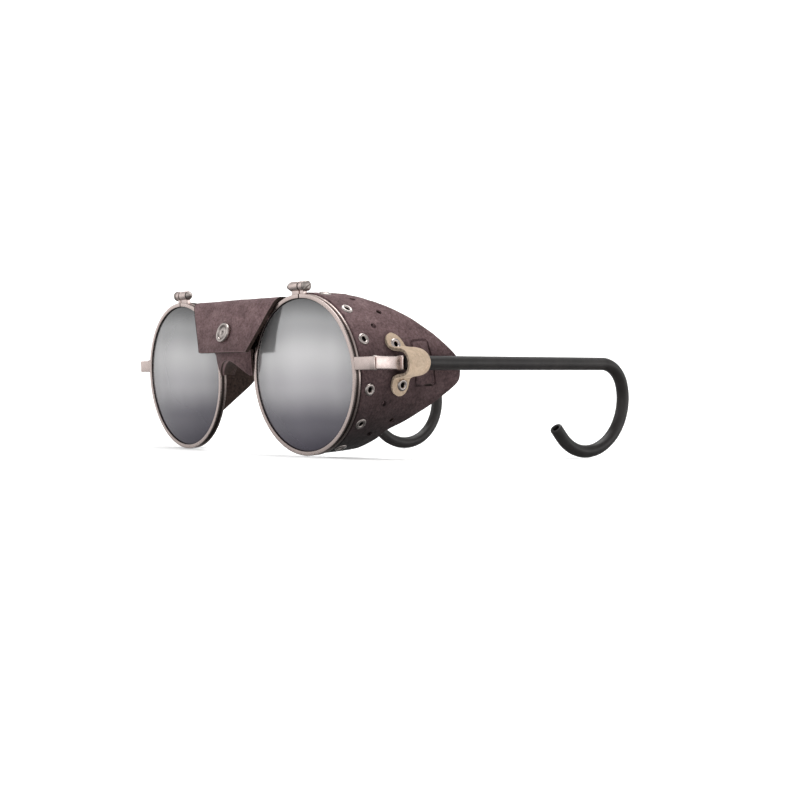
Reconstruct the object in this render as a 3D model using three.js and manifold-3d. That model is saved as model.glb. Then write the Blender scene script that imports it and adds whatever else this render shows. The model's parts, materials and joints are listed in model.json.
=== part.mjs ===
// Glacier glasses: round metal rims with closing screws, leather side shields and nose cover,
// and temples whose rubber-covered wires end in ear hooks. Millimetres, +Z up, +X to the wearer's left.
import * as THREE from 'three';
import { mergeVertices } from 'three/addons/utils/BufferGeometryUtils.js';
import Module from 'manifold-3d';

const wasm = await Module();
wasm.setup();

// ---------------------------------------------------------------- driving dimensions
const gap = 0.3; // clearance between pieces that touch on the real object

// Front
const lensDiameter = 51;
const bridgeWidth = 23;
const eyeX = (lensDiameter + bridgeWidth) / 2; // lens centre from the middle
const wrap = THREE.MathUtils.degToRad(2.7); // each rim is turned back towards the temple
const lensSphere = 130; // radius of the lens's front surface
const lensThickness = 2;
const lensEdgeY = 0.55; // front edge of the lens behind the rim's front face
const lensEdgeThickness = 1.2;

const rimOuter = 26.6;
const rimInner = 25.2;
const rimDepth = 2.35;
const rimLip = 0.5; // front lip
const rimRearLip = 0.7;
const rimWaist = 26.05; // radius between the two lips
const lensGroove = lensDiameter / 2 + gap;

// Closing barrel over each rim, on the rim's own X axis
const barrelZ = 29.1;
const barrelY = 1.1;
const barrelRadius = 1.65;
const barrelBore = 0.85;
const threadedBarrel = [-4.1, -0.3]; // nasal half, tapped
const plainBarrel = [0.3, 2.1]; // temporal half, under the screw's head
const neckX = [-2.1, 1.7]; // the neck that carries both halves of the barrel
const closingShaft = 0.55;
const closingHead = [2.4, 3.3];
const closingTip = -6;

// End piece, hinge and temple
const hingeX = 69.2;
const hingeY = 5;
const hingeZ = 3.5;
const barHeight = 4.1;
const cornerX = 71.9;
const cornerY = 2.9;
const endPieceInnerX = 62;
const knuckleRadius = 1.1;
const hingePinRadius = 0.5;
const hingeBore = 0.7;
const middleKnuckle = 1.5;
const converge = THREE.MathUtils.degToRad(7.8); // temples run inwards
const drop = THREE.MathUtils.degToRad(3.1); // and down
const barFront = -1.95;
const barEnd = 10.6;
const barInner = 1.25;
const barThickness = 1.2;
const ferruleLength = 1.6;
const temple = { axis: 1.5, tubeRadius: 2.35, boreRadius: 1.2, wireRadius: 0.85 };
const straightEnd = 120.4;
const upperBend = { radius: 12, turn: 70.7 };
const hookBend = { radius: 18.3, turn: 155.5 };
const hookTip = 4.8;
const hookSplay = Math.tan(converge); // the hook's plane runs straight back
const hookLean = 0.06;
const tubeSteps = 36;

// Leather side shields, wrapped round each rim's axis. Angles are in degrees from outwards, up is positive.
const shieldOuter = 27;
const leather = 1.2;
const shieldFront = 2.75;
const collarRear = 9.3;
const shieldStep = 3; // degrees between facets
const shieldFrom = -80;
const shieldTo = 88;
const flapFrom = -77;
const flapTo = 79;
const notch = { from: -2, to: 16, y: 5.2, side: 2 }; // room for the folded temple bar
const bandOuter = 25.5;
const bandThickness = 0.5;
const bandRear = 8.5;

const eyeletY = 6.8;
const eyeletAngles = [76, 50.5, 24, -11, -37, -66];
const eyelet = { flange: 1.85, barrel: 1.05, hole: 0.75, rim: 0.35 };
const shieldCorner = 1.2;
const shieldEdge = { // millimetres back, and millimetres per degree
  tipY: 45.7,
  top: 14.3,
  upper: { y: 49.3, slope: -0.49 },
  lower: { y: 52.8, slope: 0.727 },
  under: { y: 25.6, slope: 0.133 },
};

// Tan leather strap over each temple, riveted to the shield at two places
const strapLeather = 1.2;
const strapLobes = [{ angle: 19, y: 17.6 }, { angle: -9, y: 19.2 }];
const lobeRadius = 3.9;
const saddle = { from: 16.6, to: 26.4, leg: 4.2, clearance: 0.4 };
const strapFoot = { inner: 22, beforeLobe: 2.5, beforeEnd: 2, margin: 0.8 }; // joins a lobe to the saddle

// Nose cover
const bridge = { y: 0.7, topZ: 19.5, endX: 21, endZ: 15 }; // the hidden bar between the rims
const coverBackY = 2.2;
const noseLeather = 1.1;
const coverTopZ = 26.3;
const coverTopHalf = 27.2;
const coverWebZ = 9.6;
const frontPanel = { top: 18.5, topHalf: 12, bulgeZ: 9, bottomY: -3 };
const legHalf = 11.6;
const legInner = 8.4;
const legBottom = 0.1;
const archTop = 6.5;
const flapTop = { y: -1.2, z: 25.7, half: 27.2 };
const flapToPanel = 0.95; // room for the closed snap
const flapBottom = { y: -7, z: 8.4, half: 14.8 };
const snapZ = 14.7;
const snapCap = { radius: 3.5, height: 0.9, shank: 0.9 };
const snapSocket = { outer: 2.9, inner: 1.75, height: 0.55 };
const snapStud = { base: 2.6, head: 1.35, height: 0.75 };

// The glasses stand on both rims and both hooks, so the front leans forward.
const standTilt = THREE.MathUtils.degToRad(5.26);

// ---------------------------------------------------------------- materials
const paint = (color, roughness, metalness) =>
  new THREE.MeshStandardMaterial({ color, roughness, metalness });
const roseMetal = paint(0xd3bfb8, 0.32, 1);
const mirrorGlass = paint(0x9c9ca0, 0.06, 0.6);
const brownLeather = paint(0x6b5b58, 0.85, 0);
const tanLeather = paint(0xc9b79b, 0.85, 0);
const blackRubber = paint(0x292827, 0.6, 0);
const steel = paint(0xa8a5a2, 0.35, 1);

// ---------------------------------------------------------------- solids
function signedVolume(geometry) {
  const corners = [new THREE.Vector3(), new THREE.Vector3(), new THREE.Vector3()];
  const position = geometry.attributes.position;
  let volume = 0;
  for (let i = 0; i < geometry.index.count; i += 3) {
    corners.forEach((corner, k) => corner.fromBufferAttribute(position, geometry.index.getX(i + k)));
    volume += corners[0].dot(corners[1].cross(corners[2])) / 6;
  }
  return volume;
}

// Position-only mesh with shared vertices and its faces pointing out.
function closed(geometry) {
  geometry.deleteAttribute('normal');
  geometry.deleteAttribute('uv');
  const merged = mergeVertices(geometry, 1e-4);
  if (signedVolume(merged) < 0) {
    const index = merged.index;
    for (let i = 0; i < index.count; i += 3) {
      const first = index.getX(i);
      index.setX(i, index.getX(i + 1));
      index.setX(i + 1, first);
    }
  }
  return merged;
}

function solid(geometry) {
  const mesh = closed(geometry);
  return new wasm.Manifold(new wasm.Mesh({
    numProp: 3,
    vertProperties: Float32Array.from(mesh.attributes.position.array),
    triVerts: Uint32Array.from(mesh.index.array),
  }));
}

function surface(manifold) {
  const mesh = manifold.getMesh();
  const geometry = new THREE.BufferGeometry();
  geometry.setAttribute('position', new THREE.BufferAttribute(mesh.vertProperties, 3));
  geometry.setIndex(new THREE.BufferAttribute(mesh.triVerts, 1));
  return geometry;
}

function block(x, y, z) {
  const geometry = new THREE.BoxGeometry(x[1] - x[0], y[1] - y[0], z[1] - z[0]);
  return geometry.translate((x[0] + x[1]) / 2, (y[0] + y[1]) / 2, (z[0] + z[1]) / 2);
}

// Cylinder whose axis is +X, +Y or +Z, from one end to the other.
function rod(axis, radius, ends, segments = 20) {
  const geometry = new THREE.CylinderGeometry(radius, radius, ends[1] - ends[0], segments);
  geometry.translate(0, (ends[0] + ends[1]) / 2, 0);
  if (axis === 'x') geometry.rotateZ(-Math.PI / 2);
  if (axis === 'z') geometry.rotateX(Math.PI / 2);
  return geometry;
}

// Profile points are [radius, height along +Y].
function turned(profile, segments) {
  return new THREE.LatheGeometry(profile.map(([r, y]) => new THREE.Vector2(r, y)), segments);
}

// Outline points are [x, y]; the prism runs from z[0] to z[1].
function prism(outline, z) {
  const shape = new THREE.Shape(outline.map(([x, y]) => new THREE.Vector2(x, y)));
  const geometry = new THREE.ExtrudeGeometry(shape, { depth: z[1] - z[0], bevelEnabled: false });
  return geometry.translate(0, 0, z[0]);
}

// Outline points are [x, z]; the plate runs from y[0] to y[1].
function plate(outline, y) {
  const geometry = prism(outline, [-y[1], -y[0]]);
  return geometry.rotateX(Math.PI / 2);
}

// A sheet wrapped round the Y axis, from y front(angle) to rear(angle).
function wrapped({ inner, outer, from, to, front, rear, rows }) {
  const columns = (to - from) / shieldStep;
  const geometry = new THREE.BoxGeometry(1, 1, 1, columns, rows, 1);
  const position = geometry.attributes.position;
  for (let i = 0; i < position.count; i++) {
    const angle = THREE.MathUtils.lerp(to, from, position.getX(i) + 0.5);
    const y = THREE.MathUtils.lerp(front(angle), rear(angle), position.getY(i) + 0.5);
    const radius = position.getZ(i) > 0 ? outer : inner;
    const turn = THREE.MathUtils.degToRad(angle);
    position.setXYZ(i, radius * Math.cos(turn), y, radius * Math.sin(turn));
  }
  return geometry;
}

// Turns a piece made along +Y so that it points outwards at an angle round the rim's axis.
function radially(geometry, angle, y, radius = 0) {
  geometry.translate(0, radius, 0);
  geometry.rotateZ(-Math.PI / 2);
  geometry.rotateY(-THREE.MathUtils.degToRad(angle));
  return geometry.translate(0, y, 0);
}

// ---------------------------------------------------------------- rim and lens
function rim() {
  const rearLipY = rimDepth - rimRearLip;
  const ring = solid(turned([
    [rimInner, 0], [rimOuter - 0.15, 0], [rimOuter, 0.15], [rimOuter, rimLip],
    [rimWaist, rimLip], [rimWaist, rearLipY], [rimOuter, rearLipY], [rimOuter, rimDepth],
    [rimInner, rimDepth], [rimInner, lensEdgeY + lensEdgeThickness + gap],
    [lensGroove, lensEdgeY + lensEdgeThickness + gap], [lensGroove, lensEdgeY - gap],
    [rimInner, lensEdgeY - gap], [rimInner, 0],
  ], 48));
  const lowEnd = rimWaist - 0.3;
  const neck = solid(block(neckX, [gap, rimDepth - gap], [lowEnd, barrelZ - barrelBore]));
  const [nasal, temporal] = [threadedBarrel[0], plainBarrel[1]];
  const barrel = solid(rod('x', barrelRadius, [nasal, temporal]).translate(0, barrelY, barrelZ));
  const bore = solid(rod('x', barrelBore, [nasal - 1, temporal + 1]).translate(0, barrelY, barrelZ));
  const slot = solid(block([threadedBarrel[1], plainBarrel[0]], [-1, 4], [rimInner - 1, barrelZ + 3]));
  return surface(ring.add(neck).add(barrel).subtract(bore).subtract(slot));
}

function lens() {
  const edge = lensDiameter / 2;
  const dome = (r, sphere) => Math.sqrt(sphere ** 2 - edge ** 2) - Math.sqrt(sphere ** 2 - r ** 2);
  const steps = [0, 0.35, 0.7, 1].map((share) => share * edge);
  const backSphere = lensSphere * (lensThickness / lensEdgeThickness);
  const front = steps.map((r) => [r, lensEdgeY + dome(r, lensSphere)]);
  const back = steps.map((r) => [r, lensEdgeY + lensEdgeThickness + dome(r, backSphere)]);
  return turned([...front, ...back.reverse()], 40);
}

function closingScrew() {
  const [headFrom, headTo] = closingHead;
  const neck = threadedBarrel[0] - 0.3;
  const head = barrelRadius - 0.1;
  return turned([
    [0, closingTip], [0.35, closingTip], [1, neck - 0.2], [1, neck], [closingShaft, neck],
    [closingShaft, headFrom], [head, headFrom], [head, headTo - 0.3], [head - 0.3, headTo], [0, headTo],
  ], 16).rotateZ(-Math.PI / 2).translate(0, barrelY, barrelZ);
}

// ---------------------------------------------------------------- end piece, hinge and temple
function rimClearance(side = 1) {
  const room = rod('y', rimOuter + gap, [-8, 12], 64).rotateZ(wrap).translate(eyeX, 0, 0);
  return solid(room.scale(side, 1, 1));
}

function endPiece() {
  const low = hingeZ - barHeight / 2;
  const high = hingeZ + barHeight / 2;
  const arm = solid(prism([
    [endPieceInnerX, 1.25], [cornerX - 1.3, 1.65], [cornerX - 0.3, 2.05], [cornerX, 2.5], [cornerX, cornerY],
    [hingeX + 1, cornerY], [hingeX + 1, hingeY], [hingeX - knuckleRadius, hingeY],
    [hingeX - knuckleRadius, 3.3], [endPieceInnerX, 3.1],
  ], [low, high]));
  const knuckle = solid(rod('z', knuckleRadius, [low, high]).translate(hingeX, hingeY, 0));
  const room = (middleKnuckle + gap) / 2 + 0.05;
  const middle = solid(rod('z', knuckleRadius + 0.35, [hingeZ - room, hingeZ + room])
    .translate(hingeX, hingeY, 0));
  const bore = solid(rod('z', hingeBore, [low - 1, high + 1]).translate(hingeX, hingeY, 0));
  return surface(arm.add(knuckle).subtract(middle).subtract(bore).subtract(rimClearance()));
}

function hingeScrew() {
  const half = barHeight / 2;
  return turned([
    [0, -half - 0.3], [hingePinRadius, -half - 0.3], [hingePinRadius, half + 0.15], [0.95, half + 0.15],
    [0.95, half + 0.4], [0.6, half + 0.6], [0, half + 0.6],
  ], 16).rotateX(Math.PI / 2);
}

// Temple pieces are made from the hinge axis: X outwards, Y back along the temple, Z up.
function templeBar() {
  const half = barHeight / 2;
  const outer = barInner + barThickness;
  const bar = solid(block([barInner, outer], [barFront, barEnd], [-half, half]));
  const ferrule = solid(block(
    [temple.axis - 1.5, outer + 0.2], [barEnd - ferruleLength, barEnd], [-half - 0.15, half + 0.15]));
  const knuckleHalf = middleKnuckle / 2;
  const knuckle = solid(rod('z', knuckleRadius, [-knuckleHalf, knuckleHalf]));
  const web = solid(block([0, barInner + 0.3], [-0.8, 0.8], [-knuckleHalf, knuckleHalf]));
  const bore = solid(rod('z', hingeBore, [-2, 2]));
  const socket = solid(rod('y', temple.wireRadius + 0.15, [barEnd - ferruleLength - 2, barEnd + 1])
    .translate(temple.axis, 0, 0));
  return surface(bar.add(ferrule).add(knuckle).add(web).subtract(bore).subtract(socket));
}

// Centre line of the tube, from the hinge end to the hook's tip.
function templePath(start, short = 0) {
  const line = [[start, 0], [(start + straightEnd) / 2, 0], [straightEnd, 0]];
  let [y, z, heading] = [straightEnd, 0, 0];
  for (const bend of [upperBend, hookBend]) {
    const steps = Math.ceil(bend.turn / 12);
    const turn = THREE.MathUtils.degToRad(bend.turn) / steps;
    const chord = 2 * bend.radius * Math.sin(turn / 2);
    for (let i = 0; i < steps; i++) {
      y += chord * Math.cos(heading - turn / 2);
      z += chord * Math.sin(heading - turn / 2);
      heading -= turn;
      line.push([y, z]);
    }
  }
  const tip = hookTip - short;
  line.push([y + tip * Math.cos(heading), z + tip * Math.sin(heading)]);
  const points = line.map(([along, up], i) => {
    const splay = i > 2 ? hookSplay * (along - straightEnd) + hookLean * up : 0;
    return new THREE.Vector3(temple.axis + splay, along, up);
  });
  return new THREE.CatmullRomCurve3(points, false, 'centripetal');
}

function swept(path, outer, inner, sides) {
  const shape = new THREE.Shape().absarc(0, 0, outer, 0, 2 * Math.PI, false);
  if (inner > 0) shape.holes.push(new THREE.Path().absarc(0, 0, inner, 0, 2 * Math.PI, true));
  return new THREE.ExtrudeGeometry(shape, {
    steps: tubeSteps, curveSegments: sides / 2, bevelEnabled: false, extrudePath: path,
  });
}

const templeTube = () => swept(templePath(barEnd + 0.4), temple.tubeRadius, temple.boreRadius, 10);
const templeWire = () => swept(templePath(barEnd - ferruleLength + 0.2, hookTip), temple.wireRadius, 0, 6);

// ---------------------------------------------------------------- side shield
// Rear edge against the angle: straight from the top to the tip beside the temple, straight back
// below it, a flatter stretch under the rim, and soft corners between them.
function softMin(values) {
  return -shieldCorner * Math.log(values.reduce((sum, y) => sum + Math.exp(-y / shieldCorner), 0));
}

function shieldRear(angle) {
  const { tipY, top, upper, lower, under } = shieldEdge;
  const above = Math.max(top, upper.y + upper.slope * angle);
  const below = Math.max(under.y + under.slope * angle, lower.y + lower.slope * angle);
  return softMin([tipY, above, below]);
}

function notched(y) {
  return (angle) => {
    const inside = Math.min(angle - notch.from, notch.to - angle) / notch.side;
    return THREE.MathUtils.lerp(y, notch.y, THREE.MathUtils.clamp(inside, 0, 1));
  };
}

function drill(body, places, radius, reach) {
  return places.reduce(
    (left, { angle, y }) => left.subtract(solid(radially(rod('y', radius, reach, 12), angle, y))), body);
}

const eyeletPlaces = eyeletAngles.map((angle) => ({ angle, y: eyeletY }));

function shieldBand() {
  const band = solid(wrapped({
    inner: bandOuter - bandThickness, outer: bandOuter, from: flapFrom, to: flapTo,
    front: () => rimDepth + gap, rear: notched(bandRear), rows: 1,
  }));
  return surface(drill(band, eyeletPlaces, eyelet.barrel + 0.2, [20, 30]));
}

function shieldCollar() {
  const collar = solid(wrapped({
    inner: shieldOuter - leather, outer: shieldOuter, from: shieldFrom, to: shieldTo,
    front: () => shieldFront, rear: notched(collarRear), rows: 1,
  }));
  return surface(drill(collar, eyeletPlaces, eyelet.barrel + 0.2, [20, 30]));
}

function shieldFlap() {
  const flap = solid(wrapped({
    inner: shieldOuter - leather, outer: shieldOuter, from: flapFrom, to: flapTo,
    front: (angle) => notched(collarRear)(angle) + gap, rear: shieldRear, rows: 2,
  }));
  return surface(drill(flap, strapLobes, eyelet.barrel + 0.2, [20, 30]));
}

// A rolled eyelet through everything between two radii.
function shieldEyelet({ angle, y }, inner, outer) {
  const { flange, barrel, hole, rim: lip } = eyelet;
  const profile = [
    [hole, inner - lip], [flange, inner - lip], [flange, inner], [barrel, inner], [barrel, outer],
    [flange, outer], [flange - 0.2, outer + lip], [hole, outer + lip], [hole, inner - lip],
  ];
  return radially(turned(profile, 12), angle, y);
}

// ---------------------------------------------------------------- strap
// The temple's centre line where it passes the strap, seen from the rim's own axes.
function templeFromRim(y) {
  const along = (y - hingeY) * Math.tan(converge);
  const x = hingeX + temple.axis - along - eyeX + y * Math.tan(wrap);
  return { x, z: hingeZ - (y - hingeY) * Math.tan(drop) };
}

// Section of the saddle: a half round facing outwards with straight legs towards the shield, [x, z].
function saddleSection(radius) {
  const shape = new THREE.Shape();
  shape.absarc(0, 0, radius, -Math.PI / 2, Math.PI / 2, false);
  shape.lineTo(-saddle.leg, radius);
  shape.lineTo(-saddle.leg, -radius);
  return shape.getPoints(6).map((point) => point.toArray());
}

function strap() {
  const inner = shieldOuter + gap;
  const outer = inner + strapLeather;
  const middle = (saddle.from + saddle.to) / 2;
  const { x, z } = templeFromRim(middle);
  const room = temple.tubeRadius + saddle.clearance;
  const overTube = (radius, half) => solid(plate(saddleSection(radius), [-half, half])
    .rotateZ(converge - wrap).rotateX(-drop).translate(x, middle, z));
  const sleeve = solid(rod('y', outer, [0, 60], 64));
  const lobes = strapLobes.map(({ angle, y }) =>
    solid(radially(rod('y', lobeRadius, [inner, outer], 24), angle, y)));
  const feet = strapLobes.map(({ angle, y }) => {
    const lobeZ = shieldOuter * Math.sin(THREE.MathUtils.degToRad(angle));
    const legZ = z + Math.sign(angle) * (room + strapLeather / 2);
    const low = Math.min(lobeZ, legZ) - strapFoot.margin;
    const high = Math.max(lobeZ, legZ) + strapFoot.margin;
    const along = [y - strapFoot.beforeLobe, saddle.to - strapFoot.beforeEnd];
    return solid(block([strapFoot.inner, outer + 1], along, [low, high])).intersect(sleeve);
  });
  const length = saddle.to - saddle.from;
  const skin = [...feet, ...lobes].reduce(
    (whole, piece) => whole.add(piece), overTube(room + strapLeather, length / 2));
  const hollow = solid(rod('y', inner, [-1, 61], 64)).add(overTube(room, length));
  return surface(drill(skin.subtract(hollow), strapLobes, eyelet.barrel + 0.2, [20, 40]));
}

// ---------------------------------------------------------------- bridge and nose cover
function bridgeBar() {
  const { y, topZ, endX, endZ } = bridge;
  const path = new THREE.QuadraticBezierCurve3(
    new THREE.Vector3(-endX, y, endZ),
    new THREE.Vector3(0, y, 2 * topZ - endZ),
    new THREE.Vector3(endX, y, endZ),
  );
  const shape = new THREE.Shape().absellipse(0, 0, 0.9, 1.2, 0, 2 * Math.PI, false);
  const bar = solid(new THREE.ExtrudeGeometry(shape, {
    steps: 14, curveSegments: 5, bevelEnabled: false, extrudePath: path,
  }));
  return surface(bar.subtract(rimClearance()).subtract(rimClearance(-1)));
}

const flapSlope = Math.atan2(flapTop.y - flapBottom.y, flapTop.z - flapBottom.z);
const flapLength = Math.hypot(flapTop.y - flapBottom.y, flapTop.z - flapBottom.z);
const snapDown = (flapTop.z - snapZ) / Math.cos(flapSlope);

// Inverted-U outline with its legs beside the nose: [x, z].
function arch(top, topHalf) {
  const right = [
    [0, archTop], [legInner * 0.55, archTop - 1.4], [legInner, legBottom], [legHalf, legBottom],
    [flapBottom.half - 0.6, flapBottom.z], [topHalf, top],
  ];
  const left = right.slice(1).reverse().map(([x, z]) => [-x, z]);
  return [...right, ...left];
}

// The front panel lies parallel to the flap, then turns back to the legs: [y, z] of its outer face.
function frontPanelProfile() {
  const behindFlap = (z) =>
    flapTop.y - (flapTop.z - z) * Math.tan(flapSlope) + (noseLeather + flapToPanel) / Math.cos(flapSlope);
  const { top, bulgeZ, bottomY } = frontPanel;
  const outer = [[bottomY, legBottom], [behindFlap(bulgeZ), bulgeZ], [behindFlap(top), top]];
  const inner = outer.slice().reverse().map(([y, z]) => [y + noseLeather * 1.06, z]);
  return [...outer, ...inner];
}

function noseCover() {
  const back = coverBackY + noseLeather;
  const sweep = prism(frontPanelProfile(), [-20, 20]).rotateY(Math.PI / 2).rotateX(Math.PI / 2);
  const frontSheet = solid(sweep).intersect(solid(plate(arch(frontPanel.top, frontPanel.topHalf), [-9, 2])));
  const backSheet = solid(plate(arch(coverTopZ, coverTopHalf), [coverBackY, back]));
  const top = solid(block([-coverTopHalf, coverTopHalf], [0.25, back], [coverTopZ - noseLeather, coverTopZ]));
  const web = solid(block([-9.5, 9.5], [-3.6, back], [coverWebZ, coverWebZ + noseLeather]));
  const hole = solid(onFlap(rod('y', snapCap.shank + gap, [0, 4], 12)));
  return surface(frontSheet.add(backSheet).add(top).add(web).subtract(hole));
}

// Moves a piece made round the snap's axis to where the closed flap holds it.
function onFlap(geometry) {
  return geometry.translate(0, 0, -snapDown).rotateX(-flapSlope).translate(0, flapTop.y, flapTop.z);
}

// Flap pieces hang from the fold line: Z up along the flap, Y through it.
function noseFlap() {
  const outline = [
    [-flapTop.half, 0], [flapTop.half, 0],
    [flapBottom.half, -flapLength], [-flapBottom.half, -flapLength],
  ];
  const sheet = solid(plate(outline, [0, noseLeather]));
  const hole = solid(rod('y', snapCap.shank + gap, [-1, 3], 12).translate(0, 0, -snapDown));
  return surface(sheet.subtract(hole));
}

function capSnap() {
  const { radius, height, shank } = snapCap;
  return turned([
    [0, -gap - height], [radius - 1.2, -gap - height], [radius - 0.4, -gap - height * 0.8],
    [radius, -gap - 0.3], [radius, -gap], [shank, -gap], [shank, noseLeather - 0.1], [0, noseLeather - 0.1],
  ], 24).translate(0, 0, -snapDown);
}

function socketSnap() {
  const { outer, inner, height } = snapSocket;
  const from = noseLeather + 0.1;
  const to = from + height;
  return turned([[inner, from], [outer, from], [outer, to], [inner, to], [inner, from]], 20)
    .translate(0, 0, -snapDown);
}

function studSnap() {
  const { base, head, height } = snapStud;
  const face = noseLeather + flapToPanel - 0.1;
  return turned([
    [0, face - height], [head, face - height], [head, face - 0.15],
    [base - 0.6, face - 0.15], [base - 0.6, face], [0, face],
  ], 16);
}

function postSnap() {
  const face = noseLeather + flapToPanel;
  const back = face + noseLeather + 0.1;
  return turned([
    [0, face + 0.1], [snapCap.shank, face + 0.1], [snapCap.shank, back],
    [snapStud.base, back], [snapStud.base - 0.3, back + 0.4], [0, back + 0.4],
  ], 16);
}

// ---------------------------------------------------------------- assembly
const glasses = new THREE.Group();
const sides = { left: 1, right: -1 };

function add(parent, name, geometry, material, side = 1) {
  if (side < 0) geometry.scale(-1, 1, 1);
  const mesh = new THREE.Mesh(closed(geometry), material);
  mesh.name = name;
  parent.add(mesh);
}

for (const [label, side] of Object.entries(sides)) {
  const front = new THREE.Group();
  glasses.add(front);
  add(front, `end_piece_${label}`, endPiece(), roseMetal, side);

  const eye = new THREE.Group();
  eye.position.x = side * eyeX;
  eye.rotation.z = side * wrap;
  glasses.add(eye);
  add(eye, `rim_${label}`, rim(), roseMetal, side);
  add(eye, `lens_${label}`, lens(), mirrorGlass, side);
  add(eye, `closing_screw_${label}`, closingScrew(), steel, side);
  add(eye, `shield_band_${label}`, shieldBand(), roseMetal, side);
  add(eye, `shield_collar_${label}`, shieldCollar(), brownLeather, side);
  add(eye, `shield_flap_${label}`, shieldFlap(), brownLeather, side);
  eyeletPlaces.forEach((place, i) => {
    const piece = shieldEyelet(place, bandOuter - bandThickness - gap, shieldOuter + gap);
    add(eye, `shield_eyelet_${label}_${i + 1}`, piece, roseMetal, side);
  });
  add(eye, `temple_strap_${label}`, strap(), tanLeather, side);
  strapLobes.forEach((place, i) => {
    const piece = shieldEyelet(place, shieldOuter - leather - gap, shieldOuter + 2 * gap + strapLeather);
    add(eye, `strap_eyelet_${label}_${i ? 'lower' : 'upper'}`, piece, roseMetal, side);
  });

  const arm = new THREE.Group();
  arm.position.set(side * hingeX, hingeY, hingeZ);
  arm.rotation.set(-drop, 0, side * converge);
  glasses.add(arm);
  add(arm, `temple_bar_${label}`, templeBar(), roseMetal, side);
  add(arm, `temple_wire_${label}`, templeWire(), steel, side);
  add(arm, `temple_tube_${label}`, templeTube(), blackRubber, side);

  const pin = new THREE.Group();
  pin.position.copy(arm.position);
  glasses.add(pin);
  add(pin, `hinge_screw_${label}`, hingeScrew(), steel, side);
}

add(glasses, 'bridge_bar', bridgeBar(), roseMetal);
add(glasses, 'nose_cover', noseCover(), brownLeather);
add(glasses, 'snap_stud', onFlap(studSnap()), roseMetal);
add(glasses, 'snap_post', onFlap(postSnap()), roseMetal);

const flap = new THREE.Group();
flap.position.set(0, flapTop.y, flapTop.z);
flap.rotation.x = -flapSlope;
glasses.add(flap);
add(flap, 'nose_flap', noseFlap(), brownLeather);
add(flap, 'snap_cap', capSnap(), roseMetal);
add(flap, 'snap_socket', socketSnap(), roseMetal);

// Stand the glasses on the ground, centred over the origin.
glasses.rotation.x = standTilt;
const box = new THREE.Box3().setFromObject(glasses, true);
const middle = box.getCenter(new THREE.Vector3());
glasses.position.set(-middle.x, -middle.y, -box.min.z);

export default glasses;
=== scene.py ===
"""Glacier glasses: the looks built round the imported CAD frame.

Shapes are made in millimetres, each in the frame of the part it belongs to (front, eye, temple or
flap), and set down in the row frame in metres. The right side is the mirror image of the left.
"""
import json
import math
import bmesh
import bpy
from mathutils import Matrix, Vector, noise


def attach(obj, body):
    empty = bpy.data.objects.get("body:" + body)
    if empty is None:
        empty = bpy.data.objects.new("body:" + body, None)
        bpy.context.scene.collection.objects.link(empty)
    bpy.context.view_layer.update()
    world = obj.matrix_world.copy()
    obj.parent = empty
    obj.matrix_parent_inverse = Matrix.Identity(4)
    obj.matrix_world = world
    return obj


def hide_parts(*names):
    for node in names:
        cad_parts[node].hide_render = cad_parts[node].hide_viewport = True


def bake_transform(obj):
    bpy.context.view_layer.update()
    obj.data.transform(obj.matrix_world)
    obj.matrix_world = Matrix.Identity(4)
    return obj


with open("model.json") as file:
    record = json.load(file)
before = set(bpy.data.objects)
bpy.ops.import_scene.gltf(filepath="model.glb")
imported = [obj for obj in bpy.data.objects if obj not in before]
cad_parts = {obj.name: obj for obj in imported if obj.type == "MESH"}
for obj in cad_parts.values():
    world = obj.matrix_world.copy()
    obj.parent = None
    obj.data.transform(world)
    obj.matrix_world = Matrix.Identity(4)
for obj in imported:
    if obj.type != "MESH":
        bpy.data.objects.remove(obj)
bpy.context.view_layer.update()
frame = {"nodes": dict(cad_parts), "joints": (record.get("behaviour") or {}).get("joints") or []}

# ---------------------------------------------------------------- driving dimensions, mm and degrees
TILT, WRAP, CONVERGE, DROP = 5.26, 2.7, 7.8, 3.1
EYE_X = 37.0
HINGE = Vector((69.2, 5.0, 3.5))
RIM_OUTER, RIM_INNER, RIM_DEPTH = 26.6, 25.2, 2.35
LENS_EDGE, LENS_SPHERE = 25.5, 130.0
BARREL_Y, BARREL_Z, BARREL_RADIUS = 1.1, 29.1, 1.65
BAR_HEIGHT, BAR_END = 4.1, 10.6
TUBE_RADIUS, BORE_RADIUS, TUBE_X = 2.35, 1.2, 1.5
LEATHER = 1.2
SHIELD_OUTER, SHIELD_FRONT = 27.0, 2.75
EYELET_Y, EYELET_ANGLES = 5.9, (76.0, 50.5, 24.0, -11.0, -37.0, -66.0)
STRAP_EYELETS = ((18.0, 17.3, "upper"), (-9.0, 18.4, "lower"))
VENTS = ((62.9, 12.5), (46.5, 18.3), (34.1, 12.4), (-22.1, 13.0), (-36.5, 19.2), (-48.5, 12.6))
FLAP_TOP, FLAP_BOTTOM = (-1.2, 25.7), (-7.0, 8.4)
FLAP_HALF_TOP, FLAP_HALF_BOTTOM = 25.8, 14.8
NOSE_LEATHER, SNAP_Z = 1.1, 14.7
LEG_TIP, LEG_TOP, ARCH = 9.7, 10.7, 5.4
BRIDGE_HALF = 15.9
BAND_FROM, BAND_TO, BAND_FRONT, BAND_REAR, BAND_THICKNESS = -77, 77, 2.65, 8.5, 0.5
NOTCH_FROM, NOTCH_TO, NOTCH_REAR = -3.0, 17.0, 5.1
VIEW_TURN, VIEW_PITCH, VIEW_ROLL = 0.882742697, 0.0500971, 0.0461526  # radians
SIDES = (("left", 1), ("right", -1))

# ---------------------------------------------------------------- frames of reference


def turn(degrees, axis):
    return Matrix.Rotation(math.radians(degrees), 4, axis)


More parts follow.
